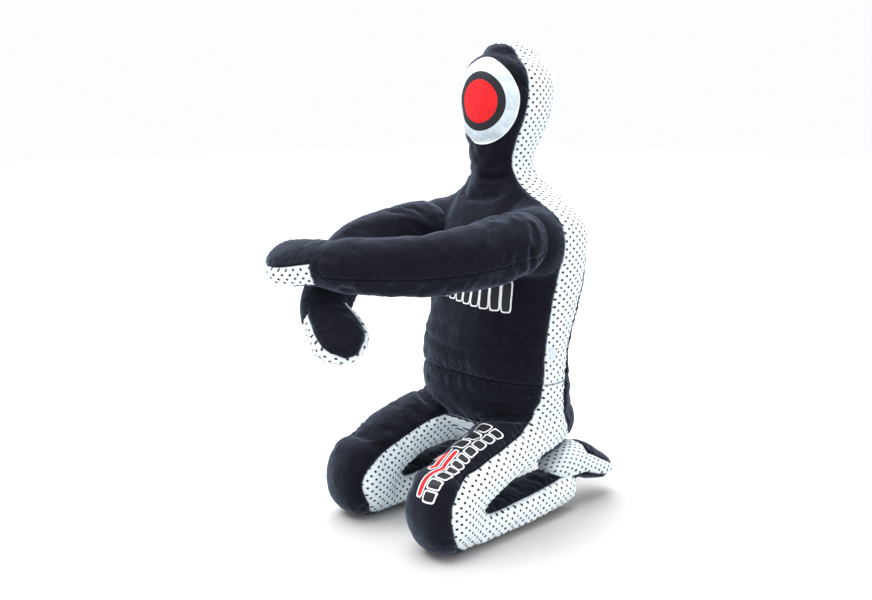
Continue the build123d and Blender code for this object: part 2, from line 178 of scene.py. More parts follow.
def stuff(obj, held, cap):
    """Fills the skin: cloth under pressure with a little spare fabric, held along its seams. No point moves
    further than cap, in metres."""
    rest = points(obj.data)
    out = normals(obj.data)
    group = obj.vertex_groups.new(name="held")
    for level in np.unique(np.round(held[held > 0.01], 1)):
        group.add([int(i) for i in np.nonzero(np.round(held, 1) == level)[0]], float(level), "REPLACE")
    cloth = obj.modifiers.new("cloth", "CLOTH")
    s = cloth.settings
    s.quality, s.mass, s.air_damping = 5, 0.3, 1.0
    s.tension_stiffness = s.compression_stiffness = 18.0
    s.shear_stiffness, s.bending_stiffness = 6.0, 1.2
    s.use_pressure, s.uniform_pressure_force = True, PRESSURE
    s.shrink_min = SPARE
    s.vertex_group_mass = "held"
    s.pin_stiffness = 8.0
    s.effector_weights.gravity = 0.0
    cloth.collision_settings.use_collision = False
    scene.frame_start, scene.frame_end = 1, FRAMES
    for f in range(1, FRAMES + 1):
        scene.frame_set(f)
    applied(obj)
    moved = points(obj.data) - rest
    outward = (moved * out).sum(1)
    moved -= out * np.clip(np.median(outward), 0, None)
    size = np.linalg.norm(moved, axis=1)
    moved *= (cap * np.tanh(size / cap) / np.maximum(size, 1e-9))[:, None]
    put(obj.data, rest + moved)
    scene.frame_set(1)


def finer(obj):
    sub = obj.modifiers.new("finer", "SUBSURF")
    sub.levels = sub.render_levels = 1
    return applied(obj)


# Seams -------------------------------------------------------------------------------------------


def inside(points_2d, corners):
    """Distance to a closed outline, positive inside it."""
    a = np.array(corners, float)
    b = np.roll(a, -1, axis=0)
    best = np.full(len(points_2d), 1e9)
    odd = np.zeros(len(points_2d), bool)
    for p, q in zip(a, b):
        d = q - p
        t = np.clip(((points_2d - p) @ d) / (d @ d), 0, 1)
        best = np.minimum(best, np.linalg.norm(points_2d - p - t[:, None] * d, axis=1))
        crosses = (p[1] > points_2d[:, 1]) != (q[1] > points_2d[:, 1])
        at = p[0] + (points_2d[:, 1] - p[1]) * d[0] / (d[1] if abs(d[1]) > 1e-12 else 1e-12)
        odd ^= crosses & (points_2d[:, 0] < at)
    return np.where(odd, best, -best)


def cut_along(obj, field):
    """Adds edges to the mesh where the field is zero."""
    bm = bmesh.new()
    bm.from_mesh(obj.data)
    layer = bm.verts.layers.float.new("cut")
    for v, value in zip(bm.verts, field):
        v[layer] = value if abs(value) > 2e-5 else 2e-5
    new = []
    for e in [e for e in bm.edges if e.verts[0][layer] * e.verts[1][layer] < 0]:
        a, b = e.verts
        share = a[layer] / (a[layer] - b[layer])
        _, v = bmesh.utils.edge_split(e, a, min(max(share, 0.02), 0.98))
        v[layer] = 0.0
        new.append(v)
    bmesh.ops.connect_verts(bm, verts=new)
    bm.verts.layers.float.remove(layer)
    bm.to_mesh(obj.data)
    bm.free()


def near_line(co, line):
    """Distance from each point to a line through the given corners."""
    best = np.full(len(co), 1e9)
    line = np.array(line, float)
    for p, q in zip(line, line[1:]):
        d = q - p
        t = np.clip(((co - p) @ d) / (d @ d), 0, 1)
        best = np.minimum(best, np.linalg.norm(co - p - t[:, None] * d, axis=1))
    return best


def crease(co, out, line, depth, width):
    """A fold: a valley along the line with a low swelling on each side."""
    r = near_line(co, spline(line, 4)) / width
    return co + out * ((depth * 0.22 * np.exp(-((r - 1.9) ** 2)) - depth * np.exp(-(r**2))))[:, None]


def faces_of(mesh):
    """Each face's centre."""
    centre = np.zeros(len(mesh.polygons) * 3, np.float32)
    mesh.polygons.foreach_get("center", centre)
    return centre.reshape(-1, 3).astype(float)


def attribute(mesh, name, kind, values):
    made = mesh.attributes.get(name) or mesh.attributes.new(name, kind, "POINT")
    made.data.foreach_set("vector" if kind == "FLOAT_VECTOR" else "value", values.astype(np.float32).ravel())


def panels(obj, which, seam, lay):
    """Splits a skin into one object per panel. which names each face's panel, seam is each vertex's distance
    to the nearest seam, and lay gives the cloth's own coordinates in metres."""
    mesh = obj.data
    attribute(mesh, "seam", "FLOAT", seam)
    attribute(mesh, "rest", "FLOAT_VECTOR", points(mesh))
    attribute(mesh, "lay", "FLOAT_VECTOR", lay)
    attribute(mesh, "out", "FLOAT_VECTOR", normals(mesh))
    made = {}
    for name in sorted(set(which)):
        bm = bmesh.new()
        bm.from_mesh(mesh)
        bm.faces.ensure_lookup_table()
        bmesh.ops.delete(bm, geom=[f for f, w in zip(bm.faces, which) if w != name], context="FACES")
        part = bpy.data.meshes.new(name)
        bm.to_mesh(part)
        bm.free()
        part.polygons.foreach_set("use_smooth", [True] * len(part.polygons))
        out = np.zeros(len(part.vertices) * 3, np.float32)
        part.attributes["out"].data.foreach_get("vector", out)
        part.normals_split_custom_set_from_vertices(out.reshape(-1, 3))
        piece = bpy.data.objects.new(name, part)
        scene.collection.objects.link(piece)
        made[name] = piece
    bpy.data.objects.remove(obj)
    return made


# Materials ---------------------------------------------------------------------------------------


class Nodes:
    """Short names for building a material."""

    def __init__(self, name):
        self.material = bpy.data.materials.new(name)
        self.material.use_nodes = True
        self.tree = self.material.node_tree
        self.shader = self.tree.nodes["Principled BSDF"]

    def put(self, kind, **values):
        node = self.tree.nodes.new(kind)
        for key, value in values.items():
            if hasattr(node, key):
                setattr(node, key, value)
            else:
                self.link(value, node.inputs[key])
        return node

    def link(self, value, socket):
        if isinstance(value, bpy.types.NodeSocket):
            self.tree.links.new(value, socket)
        else:
            socket.default_value = value

    def math(self, operation, *values, clamp=False):
        node = self.tree.nodes.new("ShaderNodeMath")
        node.operation, node.use_clamp = operation, clamp
        for value, socket in zip(values, node.inputs):
            self.link(value, socket)
        return node.outputs[0]

    def read(self, name, vector=False):
        node = self.put("ShaderNodeAttribute", attribute_name=name)
        return node.outputs["Vector" if vector else "Fac"]

    def noise(self, vector, scale, detail=3.0):
        node = self.tree.nodes.new("ShaderNodeTexNoise")
        self.link(vector, node.inputs["Vector"])
        node.inputs["Scale"].default_value = scale
        node.inputs["Detail"].default_value = detail
        return node.outputs["Fac"]

    def mix(self, share, a, b):
        node = self.tree.nodes.new("ShaderNodeMix")
        node.data_type = "RGBA"
        self.link(share, node.inputs[0])
        self.link(a, node.inputs[6])
        self.link(b, node.inputs[7])
        return node.outputs[2]

    def ramp(self, value, low, high):
        node = self.tree.nodes.new("ShaderNodeMapRange")
        node.interpolation_type = "SMOOTHSTEP"
        self.link(value, node.inputs[0])
        self.link(low, node.inputs[1])
        self.link(high, node.inputs[2])
        return node.outputs[0]

    def bump(self, height, strength, distance):
        node = self.tree.nodes.new("ShaderNodeBump")
        node.inputs["Strength"].default_value = strength
        node.inputs["Distance"].default_value = distance
        self.link(height, node.inputs["Height"])
        return node.outputs[0]


WEAVE = 0.0011  # metres from thread to thread
STITCH = 0.0052  # metres from stitch to stitch
STITCH_ROW = 0.0047  # metres from the seam to its row of stitches
DOT_CELLS = (0.0195, 0.0182)  # metres between dots, across and along the cloth
DOT_RADIUS = (0.0026, 0.0033)  # where a dot's edge starts and ends


def shaded(colour, factor, added=0.0):
    """A colour made lighter or darker, as four numbers."""
    return [c * factor + added for c in colour[:3]] + [1]


def cloth_material(name, base, light, sheen, roughness, dots=False, bump=0.35):
    """Woven cloth with stitched seams and painted shade in the seams' grooves. sheen is its weight and tint."""
    n = Nodes(name)
    rest = n.read("rest", True)
    split = n.put("ShaderNodeSeparateXYZ")
    n.link(rest, split.inputs[0])
    waves = [n.math("SINE", n.math("MULTIPLY", split.outputs[i], 2 * math.pi / WEAVE)) for i in range(3)]
    thread = n.math("ADD", n.math("MULTIPLY", waves[0], waves[2]), n.math("MULTIPLY", waves[1], waves[2]))
    fibre = n.noise(rest, 900.0, 2.0)
    cloudy = n.noise(rest, 7.0, 4.0)
    mottle = n.noise(rest, 60.0, 3.0)
    tone = n.math("MULTIPLY_ADD", cloudy, 0.5, n.math("MULTIPLY", mottle, 0.5))
    colour = n.mix(n.ramp(tone, 0.3, 0.72), base, light)
    raised = n.math("MULTIPLY", n.ramp(thread, -1.2, 1.6), 0.22)
    colour = n.mix(raised, colour, shaded(base, 1.9, 0.004))
    seam = n.read("seam")
    # painted shade: the colour darkens in the seam's groove, within about 3 mm of the seam
    groove_shade = n.math("SUBTRACT", 1.0, n.ramp(seam, 0.0004, 0.0032))
    across = n.math("ADD", split.outputs[0], split.outputs[2])
    place = n.math("ADD", n.math("MULTIPLY", split.outputs[1], 1.3), across)
    dash = n.ramp(n.math("SINE", n.math("MULTIPLY", place, 2 * math.pi / STITCH)), -0.5, 0.1)
    off_row = n.math("ABSOLUTE", n.math("SUBTRACT", seam, STITCH_ROW))
    row = n.math("SUBTRACT", 1.0, n.ramp(off_row, 0.0003, 0.0008))
    stitch = n.math("MULTIPLY", dash, row)
    thread_tone = n.math("MULTIPLY", stitch, 0.30)
    if dots:
        lay = n.put("ShaderNodeSeparateXYZ")
        n.link(n.read("lay", True), lay.inputs[0])
        spots = []
        for shift in (0.0, 0.5):
            away = []
            for axis, cell in enumerate(DOT_CELLS):
                at = n.math("ADD", n.math("DIVIDE", lay.outputs[axis], cell), shift)
                at = n.math("SUBTRACT", n.math("FRACT", at), 0.5)
                away.append(n.math("POWER", n.math("MULTIPLY", at, cell), 2.0))
            spots.append(n.math("SQRT", n.math("ADD", away[0], away[1])))
        wobble = n.math("MULTIPLY", n.math("SUBTRACT", n.noise(rest, 700.0), 0.5), 0.0007)
        near = n.math("ADD", n.math("MINIMUM", *spots), wobble)
        colour = n.mix(n.ramp(near, *DOT_RADIUS), (0.012, 0.013, 0.02, 1), colour)
        # painted shade in the seam groove: the dotted cloth darkens to grey-navy there
        colour = n.mix(n.math("MULTIPLY", groove_shade, 0.75), colour, (0.10, 0.11, 0.14, 1))
        colour = n.mix(thread_tone, colour, (0.30, 0.32, 0.36, 1))
    else:
        far = n.math("SUBTRACT", 1.0, n.ramp(seam, 0.006, 0.011))
        worn = n.math("MULTIPLY", n.ramp(seam, 0.0035, 0.006), far)
        worn = n.math("MULTIPLY", worn, n.ramp(n.noise(rest, 25.0), 0.45, 0.75))
        colour = n.mix(n.math("MULTIPLY", worn, 0.35), colour, shaded(base, 2.2, 0.01))
        # painted shade in the seam groove: the canvas darkens to a quarter of its base colour there
        colour = n.mix(n.math("MULTIPLY", groove_shade, 0.7), colour, shaded(base, 0.25))
        colour = n.mix(thread_tone, colour, (0.045, 0.048, 0.065, 1))
    n.link(colour, n.shader.inputs["Base Color"])
    height = n.math("ADD", n.math("MULTIPLY", thread, 0.5), n.math("MULTIPLY", fibre, 0.9))
    height = n.math("ADD", height, n.math("MULTIPLY", stitch, 1.5))
    fine = n.bump(height, bump, 0.0006)
    wavy = n.math("ADD", n.noise(rest, 38.0, 4.0), n.math("MULTIPLY", n.noise(rest, 110.0, 2.0), 0.35))
    soft = n.bump(wavy, 0.5, 0.004)
    n.link(fine, soft.node.inputs["Normal"])
    n.link(soft, n.shader.inputs["Normal"])
    n.link(n.math("MULTIPLY_ADD", mottle, 0.12, roughness), n.shader.inputs["Roughness"])
    n.shader.inputs["Sheen Weight"].default_value = sheen[0]
    n.shader.inputs["Sheen Roughness"].default_value = 0.40
    n.shader.inputs["Sheen Tint"].default_value = (*sheen[1], 1)
    n.shader.inputs["Specular IOR Level"].default_value = 0.25 if dots else 0.07
    return n.material


def print_material(name, base, rough=0.5):
    """Soft screen print that lets the weave through."""
    n = Nodes(name)
    rest = n.read("rest", True)
    fibre = n.noise(rest, 420.0, 3.0)
    worn = n.ramp(n.noise(rest, 90.0, 5.0), 0.30, 0.62)
    n.link(n.mix(worn, shaded(base, 0.86), shaded(base, 1)), n.shader.inputs["Base Color"])
    n.link(n.bump(fibre, 0.3, 0.0005), n.shader.inputs["Normal"])
    n.link(n.math("MULTIPLY_ADD", fibre, 0.2, rough - 0.1), n.shader.inputs["Roughness"])
    n.shader.inputs["Specular IOR Level"].default_value = 0.3
    return n.material


def hard_material(name, base, metal, rough):
    n = Nodes(name)
    place = n.put("ShaderNodeTexCoord").outputs["Object"]
    marks = n.noise(place, 900.0, 5.0)
    n.link(n.mix(marks, shaded(base, 0.7), shaded(base, 1)), n.shader.inputs["Base Color"])
    n.link(n.math("MULTIPLY_ADD", marks, 0.25, rough - 0.1), n.shader.inputs["Roughness"])
    n.shader.inputs["Metallic"].default_value = metal
    n.link(n.bump(marks, 0.2, 0.0002), n.shader.inputs["Normal"])
    return n.material


CANVAS = cloth_material(
    "navy_canvas", (0.0034, 0.0035, 0.0064, 1), (0.0072, 0.0076, 0.0130, 1), (0.34, (0.60, 0.72, 1.0)), 0.80
)
DOTTED = cloth_material(
    "dotted_cloth", (0.70, 0.78, 0.83, 1), (0.80, 0.86, 0.89, 1), (0.05, (1, 1, 1)), 0.72, dots=True, bump=0.25
)
PALE = print_material("pale_print", (0.62, 0.71, 0.78))
WHITE = print_material("white_print", (0.86, 0.89, 0.92))
RED = print_material("red_print", (0.74, 0.004, 0.010), 0.55)
BLACK = print_material("black_print", (0.010, 0.011, 0.016), 0.55)

# The trunk and legs: one skin --------------------------------------------------------------------

TRUNK = [
    (0, 0.056, 0.150, 0.130, 0.082),
    (0, 0.040, 0.200, 0.180, 0.115),
    (0, 0.020, 0.260, 0.201, 0.129),
    (0, 0.007, 0.330, 0.204, 0.132),
    (0, 0.013, 0.400, 0.200, 0.135),
    (0, 0.030, 0.480, 0.204, 0.139),
    (0, 0.042, 0.560, 0.217, 0.135),
    (0, 0.045, 0.640, 0.230, 0.124),
    (0, 0.044, 0.695, 0.222, 0.108),
    (0, 0.044, 0.737, 0.176, 0.091),
    (0, 0.040, 0.772, 0.112, 0.080),
    (0, 0.035, 0.812, 0.077, 0.074),
    (0, 0.035, 0.858, 0.079, 0.079),
    (0, 0.041, 0.910, 0.093, 0.095),
    (0, 0.049, 0.968, 0.105, 0.105),
    (0, 0.055, 1.018, 0.102, 0.103),
    (0, 0.058, 1.048, 0.088, 0.090),
    (0, 0.060, 1.069, 0.063, 0.065),
]
THIGH = [
    (0.100, 0.085, 0.205, 0.075, 0.062),
    (0.118, 0.020, 0.208, 0.084, 0.074),
    (0.134, -0.070, 0.192, 0.084, 0.066),
    (0.142, -0.150, 0.178, 0.081, 0.062),
    (0.145, -0.225, 0.150, 0.079, 0.068),
    (0.145, -0.275, 0.118, 0.075, 0.070),
]
KNEE_BLOB = [
    (0.145, -0.268, 0.030, 0.062, 0.056),
    (0.145, -0.283, 0.060, 0.074, 0.080),
    (0.145, -0.288, 0.100, 0.078, 0.086),
    (0.145, -0.278, 0.140, 0.075, 0.078),
]
SHIN = [
    (0.145, -0.270, 0.046, 0.072, 0.043),
    (0.147, -0.190, 0.045, 0.074, 0.042),
    (0.151, -0.080, 0.046, 0.070, 0.042),
    (0.156, 0.030, 0.052, 0.062, 0.042),
    (0.158, 0.075, 0.060, 0.054, 0.040),
]
FOOT = [
    (0.156, 0.050, 0.088, 0.040, 0.040),
    (0.159, 0.085, 0.107, 0.050, 0.048),
    (0.163, 0.118, 0.106, 0.050, 0.044),
    (0.168, 0.160, 0.086, 0.049, 0.038),
    (0.173, 0.198, 0.070, 0.044, 0.030),
    (0.177, 0.222, 0.062, 0.032, 0.021),
]
SHOULDER = [
    (0.138, 0.070, 0.645, 0.078, 0.080),
    (0.149, 0.010, 0.648, 0.079, 0.084),
    (0.151, -0.040, 0.650, 0.076, 0.081),
    (0.152, -0.060, 0.650, 0.064, 0.070),
]
X_AXIS = (1, 0, 0)


def other(rows):
    """The same limb on the right side."""
    return [(-r[0], *r[1:]) for r in rows]


# The gusset's outline from the side, as y and z: its front seam down, then its back seam up.
FRONT_SEAM = [
    (0.030, 1.16), (0.028, 1.075), (0.023, 1.040), (0.018, 0.985), (0.015, 0.930), (0.006, 0.890),
    (0.001, 0.845), (0.000, 0.815), (0.004, 0.788), (0.007, 0.762), (0.009, 0.735), (0.009, 0.710),
    (0.007, 0.680), (0.005, 0.650), (0.002, 0.605), (-0.003, 0.540), (-0.011, 0.457), (-0.022, 0.391),
    (-0.029, 0.330), (-0.036, 0.290), (-0.054, 0.256), (-0.104, 0.233), (-0.165, 0.217), (-0.215, 0.203),
    (-0.272, 0.184), (-0.312, 0.157), (-0.330, 0.127), (-0.334, 0.095), (-0.325, 0.056), (-0.306, 0.024),
]
UNDER_SEAM = [(-0.285, 0.009), (-0.230, 0.007), (-0.100, 0.008), (0.000, 0.012), (0.060, 0.020), (0.150, 0.030)]
BACK_SEAM = [
    (0.150, 0.120), (0.110, 0.148), (0.074, 0.192), (0.047, 0.247), (0.040, 0.292), (0.047, 0.325),
    (0.060, 0.370), (0.074, 0.429), (0.088, 0.490), (0.101, 0.582), (0.108, 0.678), (0.106, 0.720),
    (0.100, 0.752), (0.094, 0.790), (0.089, 0.830), (0.095, 0.870), (0.112, 0.920), (0.124, 0.970),
    (0.122, 1.020), (0.118, 1.060), (0.112, 1.160),
]
INNER_SEAM = [
    (-0.055, 0.226), (-0.095, 0.219), (-0.140, 0.212), (-0.201, 0.192), (-0.277, 0.163), (-0.322, 0.136),
    (-0.340, 0.110), (-0.341, 0.081), (-0.322, 0.041), (-0.300, 0.009), (-0.230, 0.007), (0.000, 0.012),
    (0.090, 0.030), (0.110, 0.120), (0.040, 0.150), (-0.020, 0.190),
]
LEG_X = 0.146
WAIST_Z = 0.328
NECK_Z = 0.786
SLIT_Y = -0.222  # where the slit between thigh and calf ends, behind the knee
KNEE_R = 0.094
knee = joint_at("left_knee_open")


def slit(co):
    """Positive on the fabric between thigh and calf, which faces the slit."""
    x, y, z = np.abs(co[:, 0]), co[:, 1], co[:, 2]
    back = np.clip((y + 0.28) / 0.35, 0, 1)
    half = 0.070 - 0.020 * back
    lips = half - 0.012 - np.abs(x - LEG_X - 0.010 * back)
    return np.minimum.reduce([lips, y - SLIT_Y, z - 0.050, 0.170 - z, 0.13 - y])


def side_gusset(co):
    """Positive on the dotted panel down the outside."""
    side = inside(co[:, 1:], FRONT_SEAM + UNDER_SEAM + BACK_SEAM)
    outer = np.where(co[:, 2] < 0.245, np.abs(co[:, 0]) - LEG_X, 1.0)
    return np.minimum.reduce([side, outer, -slit(co)])


def inner_gusset(co):
    """Positive on the dotted panel inside the thigh."""
    side = inside(co[:, 1:], spline(INNER_SEAM, 3))
    return np.minimum.reduce([side, LEG_X - np.abs(co[:, 0]), -slit(co)])


def waist(co):
    """Height above the waist seam, which sags a little in front."""
    return co[:, 2] - WAIST_Z - 0.10 * np.clip(-co[:, 1], 0, 1) + 0.02 * np.abs(co[:, 0])


def neck(co):
    """Height above the neck seam."""
    return co[:, 2] - NECK_Z


GROIN = np.array([0.0, -0.130, 0.245])
GROIN_OUT = np.array([0.0, 0.8, 0.6])


def groin(co):
    """Distance above the plane between belly and thigh."""
    return (co - GROIN) @ GROIN_OUT


def below_knee(co):
    """Positive on the shin, behind the knee's circle and under the slit."""
    ring = np.hypot(co[:, 1] - knee[1], co[:, 2] - knee[2]) - KNEE_R
    slope = 0.108 + 0.10 * np.clip(co[:, 1] + 0.10, 0, 1)
    return np.minimum.reduce([ring, slope - co[:, 2], co[:, 1] + 0.26])


MIRROR = np.array([-1.0, 1.0, 1.0])


def both(line):
    line = np.array(line, float)
    return [line, line * MIRROR]


FOLDS = [  # each fold's line, depth and width
    ([(-0.070, -0.01, 0.800), (-0.030, -0.036, 0.792), (0.020, -0.038, 0.790), (0.066, -0.014, 0.798)], 0.0030, 0.008),
    ([(-0.060, -0.020, 0.829), (0.000, -0.042, 0.818), (0.060, -0.022, 0.822)], 0.0014, 0.006),
    ([(-0.040, -0.050, 0.772), (0.010, -0.056, 0.766), (0.075, -0.040, 0.770)], 0.0025, 0.009),
    ([(-0.15, -0.095, 0.405), (-0.05, -0.125, 0.398), (0.06, -0.124, 0.392), (0.150, -0.085, 0.404)], 0.0035, 0.011),
    ([(-0.12, -0.100, 0.450), (0.00, -0.113, 0.442), (0.130, -0.085, 0.452)], 0.0025, 0.012),
    ([(-0.10, -0.110, 0.305), (0.03, -0.128, 0.300), (0.165, -0.070, 0.312)], 0.0030, 0.011),
    ([(0.02, -0.12, 0.278), (0.12, -0.105, 0.286), (0.180, -0.062, 0.296)], 0.0030, 0.009),
]
GROIN_LINE = [
    (0.035, -0.122, 0.228), (0.080, -0.128, 0.246), (0.140, -0.112, 0.256), (0.185, -0.075, 0.262),
    (0.205, -0.045, 0.272),
]
HIP_LINE = [(0.060, -0.080, 0.205), (0.055, -0.10, 0.220), (0.065, -0.118, 0.236)]
SIDE_FOLDS = [
    ([(0.205, -0.03, 0.345), (0.208, 0.01, 0.341), (0.190, 0.055, 0.346)], 0.0025, 0.006),
    ([(0.150, -0.19, 0.028), (0.205, -0.15, 0.030), (0.215, -0.08, 0.04)], 0.0015, 0.010),
    ([(0.205, 0.02, 0.150), (0.208, -0.03, 0.160), (0.212, -0.07, 0.168)], 0.0022, 0.010),
    ([(0.18, 0.055, 0.060), (0.195, 0.050, 0.075), (0.18, 0.045, 0.092)], 0.0040, 0.007),
]


def lumps(co, out, amount):
    """The soft unevenness of a hand-stuffed skin."""
    shift = np.zeros(len(co))
    for scale, share in ((11.0, 0.55), (24.0, 0.3), (55.0, 0.15)):
        shift += share * np.array([noise.noise(Vector(p * scale)) for p in co])
    return co + out * (shift * amount)[:, None]


def settle(co):
    """Keeps the fabric on the floor."""
    low = co[:, 2] < FLOOR_FELT
    co[low, 2] = FLOOR_FELT - (FLOOR_FELT - FLOOR_GAP) * np.tanh((FLOOR_FELT - co[low, 2]) / 0.0048)
    return co


def tighten(co, out, fields, depth=0.0035, width=0.0045, gathers=0.0013):
    """Pulls the fabric in along its seams and gathers it beside them."""
    near = np.min([np.abs(f) for f in fields], axis=0)
    pull = depth * np.exp(-((near / width) ** 2))
    gather = np.sin((co[:, 2] + co[:, 1] * 0.83 + co[:, 0] * 0.61) * 2 * math.pi / 0.017)
    ruck = gathers * gather * np.exp(-(((near - 0.006) / 0.005) ** 2))
    return co + out * (ruck - pull)[:, None], near


def trunk_fields(co):
    waist_seam = np.where(np.abs(co[:, 2] - WAIST_Z) < 0.06, waist(co), 1.0)
    return [side_gusset(co), inner_gusset(co), waist_seam, slit(co)]


def make_trunk():
    legs = []
    for rows, power in ((THIGH, 2.5), (KNEE_BLOB, 2.6), (SHIN, 2.8), (SHOULDER, 2.1)):
        legs += [tube(rows, X_AXIS, power), tube(other(rows), X_AXIS, power)]
    obj = skin("trunk", [tube(TRUNK, X_AXIS, 2.25, 72), *legs], smooth=14)
    co = points(obj.data)
    near = np.min([np.abs(f) for f in trunk_fields(co)], axis=0)
    held = np.exp(-((near / 0.007) ** 2))
    held = np.maximum(held, (co[:, 2] < 0.012) * 0.9)
    stuff(obj, held, 0.011)
    finer(obj)
    co, out = points(obj.data), normals(obj.data)
    for line, depth, width in FOLDS:
        co = crease(co, out, line, depth * 1.5, width)
    for line, depth, width in [(GROIN_LINE, 0.007, 0.009), (HIP_LINE, 0.004, 0.009), *SIDE_FOLDS]:
        for half in both(line):
            co = crease(co, out, half, depth * 1.4, width)
    co = lumps(co, out, 0.0045)
    put(obj.data, settle(co))
    for cut in (side_gusset, inner_gusset, slit, waist, neck, groin, below_knee):
        co = points(obj.data)
        field = cut(co)
        if cut is waist:
            field = np.where(np.abs(co[:, 2] - WAIST_Z) < 0.08, field, 1.0)
        if cut is groin:
            field = np.where((co[:, 1] < -0.02) & (co[:, 2] < 0.30) & (co[:, 2] > 0.10), field, 1.0)
        cut_along(obj, field)
    co, out = points(obj.data), normals(obj.data)
    co, near = tighten(co, out, trunk_fields(co))
    co = settle(co)
    centre = faces_of(obj.data)
    put(obj.data, co)
    outer, inner = side_gusset(centre) > 0, inner_gusset(centre) > 0
    above, upper = waist(centre) > 0, neck(centre) > 0
    fabric = slit(centre) > 0
    shin, thigh = below_knee(centre) > 0, groin(centre) < 0
    low = centre[:, 2] < 0.03
    which = []
    for i in range(len(centre)):
        left = "left" if centre[i, 0] > 0 else "right"
        front = centre[i, 1] < (0.03 if centre[i, 2] > 0.2 else 0.09)
        if above[i]:
            if outer[i]:
                which.append("Head_gusset" if upper[i] else f"Torso_gusset_{left}")
            elif upper[i]:
                which.append("Face" if front else "Head_back")
            else:
                which.append("Chest" if front else "Torso_back")
        elif shin[i]:
            if outer[i] or inner[i]:
                which.append(f"Shin_gusset_{left}")
            else:
                which.append(f"Shin_front_{left}" if low[i] else f"Calf_{left}")
        elif outer[i]:
            which.append(f"Thigh_outer_{left}")
        elif inner[i]:
            which.append(f"Thigh_inner_{left}")
        elif fabric[i]:
            which.append(f"Thigh_back_{left}")
        elif centre[i, 1] > 0.0:
            which.append("Seat")
        else:
            which.append(f"Thigh_front_{left}" if thigh[i] else "Belly")
    rows = spline(TRUNK)
    climb = np.concatenate([[0], np.cumsum(np.hypot(np.diff(rows[:, 2]), np.diff(rows[:, 3])))])
    height, hip_z, crown_z = co[:, 2], 0.28, 1.02
    up = np.interp(height, rows[:, 2], climb)
    up = np.where(height < hip_z, height - hip_z + np.interp(hip_z, rows[:, 2], climb), up)
    over = np.arctan2(height - crown_z, np.abs(co[:, 0]))
    up = np.where(height > crown_z, np.interp(crown_z, rows[:, 2], climb) + 0.092 * over, up)
    lay = np.stack([co[:, 1], up, np.zeros(len(co))], 1)
    return panels(obj, which, near, lay)


# Arms, hands and feet ----------------------------------------------------------------------------

SLEEVES = {
    "left": [
        (0.155, -0.025, 0.658, 0.054, 0.056),
        (0.156, -0.058, 0.659, 0.067, 0.069),
        (0.151, -0.100, 0.652, 0.073, 0.073),
        (0.128, -0.170, 0.637, 0.070, 0.070),
        (0.092, -0.246, 0.625, 0.066, 0.067),
        (0.048, -0.310, 0.621, 0.062, 0.063),
        (-0.004, -0.368, 0.620, 0.058, 0.059),
        (-0.052, -0.414, 0.621, 0.053, 0.055),
        (-0.078, -0.434, 0.622, 0.046, 0.050),
    ],
    "right": [
        (-0.155, -0.025, 0.650, 0.058, 0.060),
        (-0.157, -0.058, 0.654, 0.071, 0.073),
        (-0.163, -0.100, 0.650, 0.075, 0.074),
        (-0.172, -0.180, 0.640, 0.069, 0.069),
        (-0.174, -0.257, 0.622, 0.065, 0.065),
        (-0.160, -0.318, 0.592, 0.061, 0.061),
        (-0.138, -0.362, 0.562, 0.057, 0.057),
        (-0.112, -0.402, 0.530, 0.054, 0.054),
        (-0.094, -0.426, 0.510, 0.047, 0.049),
    ],
}
ARM_FOLDS = {
    "left": [
        ([(0.205, -0.088, 0.590), (0.224, -0.100, 0.622), (0.226, -0.108, 0.652)], 0.0034, 0.007),
        ([(0.190, -0.108, 0.586), (0.214, -0.130, 0.610), (0.216, -0.142, 0.636)], 0.0026, 0.007),
        ([(0.120, -0.315, 0.660), (0.128, -0.300, 0.625), (0.100, -0.300, 0.580)], 0.0016, 0.014),
        ([(0.052, -0.235, 0.600), (0.040, -0.220, 0.625), (0.045, -0.228, 0.660)], 0.0035, 0.009),
    ],
    "right": [
        ([(-0.105, -0.075, 0.690), (-0.092, -0.080, 0.650), (-0.100, -0.075, 0.606)], 0.0035, 0.008),
        ([(-0.112, -0.245, 0.600), (-0.118, -0.262, 0.575), (-0.160, -0.275, 0.552)], 0.0035, 0.009),
        ([(-0.125, -0.290, 0.570), (-0.150, -0.320, 0.545), (-0.190, -0.305, 0.545)], 0.0028, 0.009),
        ([(-0.240, -0.245, 0.640), (-0.225, -0.290, 0.655), (-0.180, -0.300, 0.665)], 0.0015, 0.014),
    ],
}
HAND = [  # along the hand, half width and half depth
    (-0.030, 0.040, 0.038), (0.000, 0.051, 0.043), (0.030, 0.058, 0.041), (0.065, 0.064, 0.038),
    (0.098, 0.060, 0.034), (0.120, 0.043, 0.027), (0.130, 0.026, 0.018),
]
HANDS = {  # direction, the way the palm faces, and the wrist
    "left": ((-0.905, -0.420, -0.030), (-0.19, 0.40, -0.89), (-0.076, -0.434, 0.627)),
    "right": ((0.775, -0.011, -0.632), (-0.59, 0.30, -0.72), (-0.097, -0.424, 0.513)),
}


def unit(v):
    v = np.array(v, float)
    return v / np.linalg.norm(v)


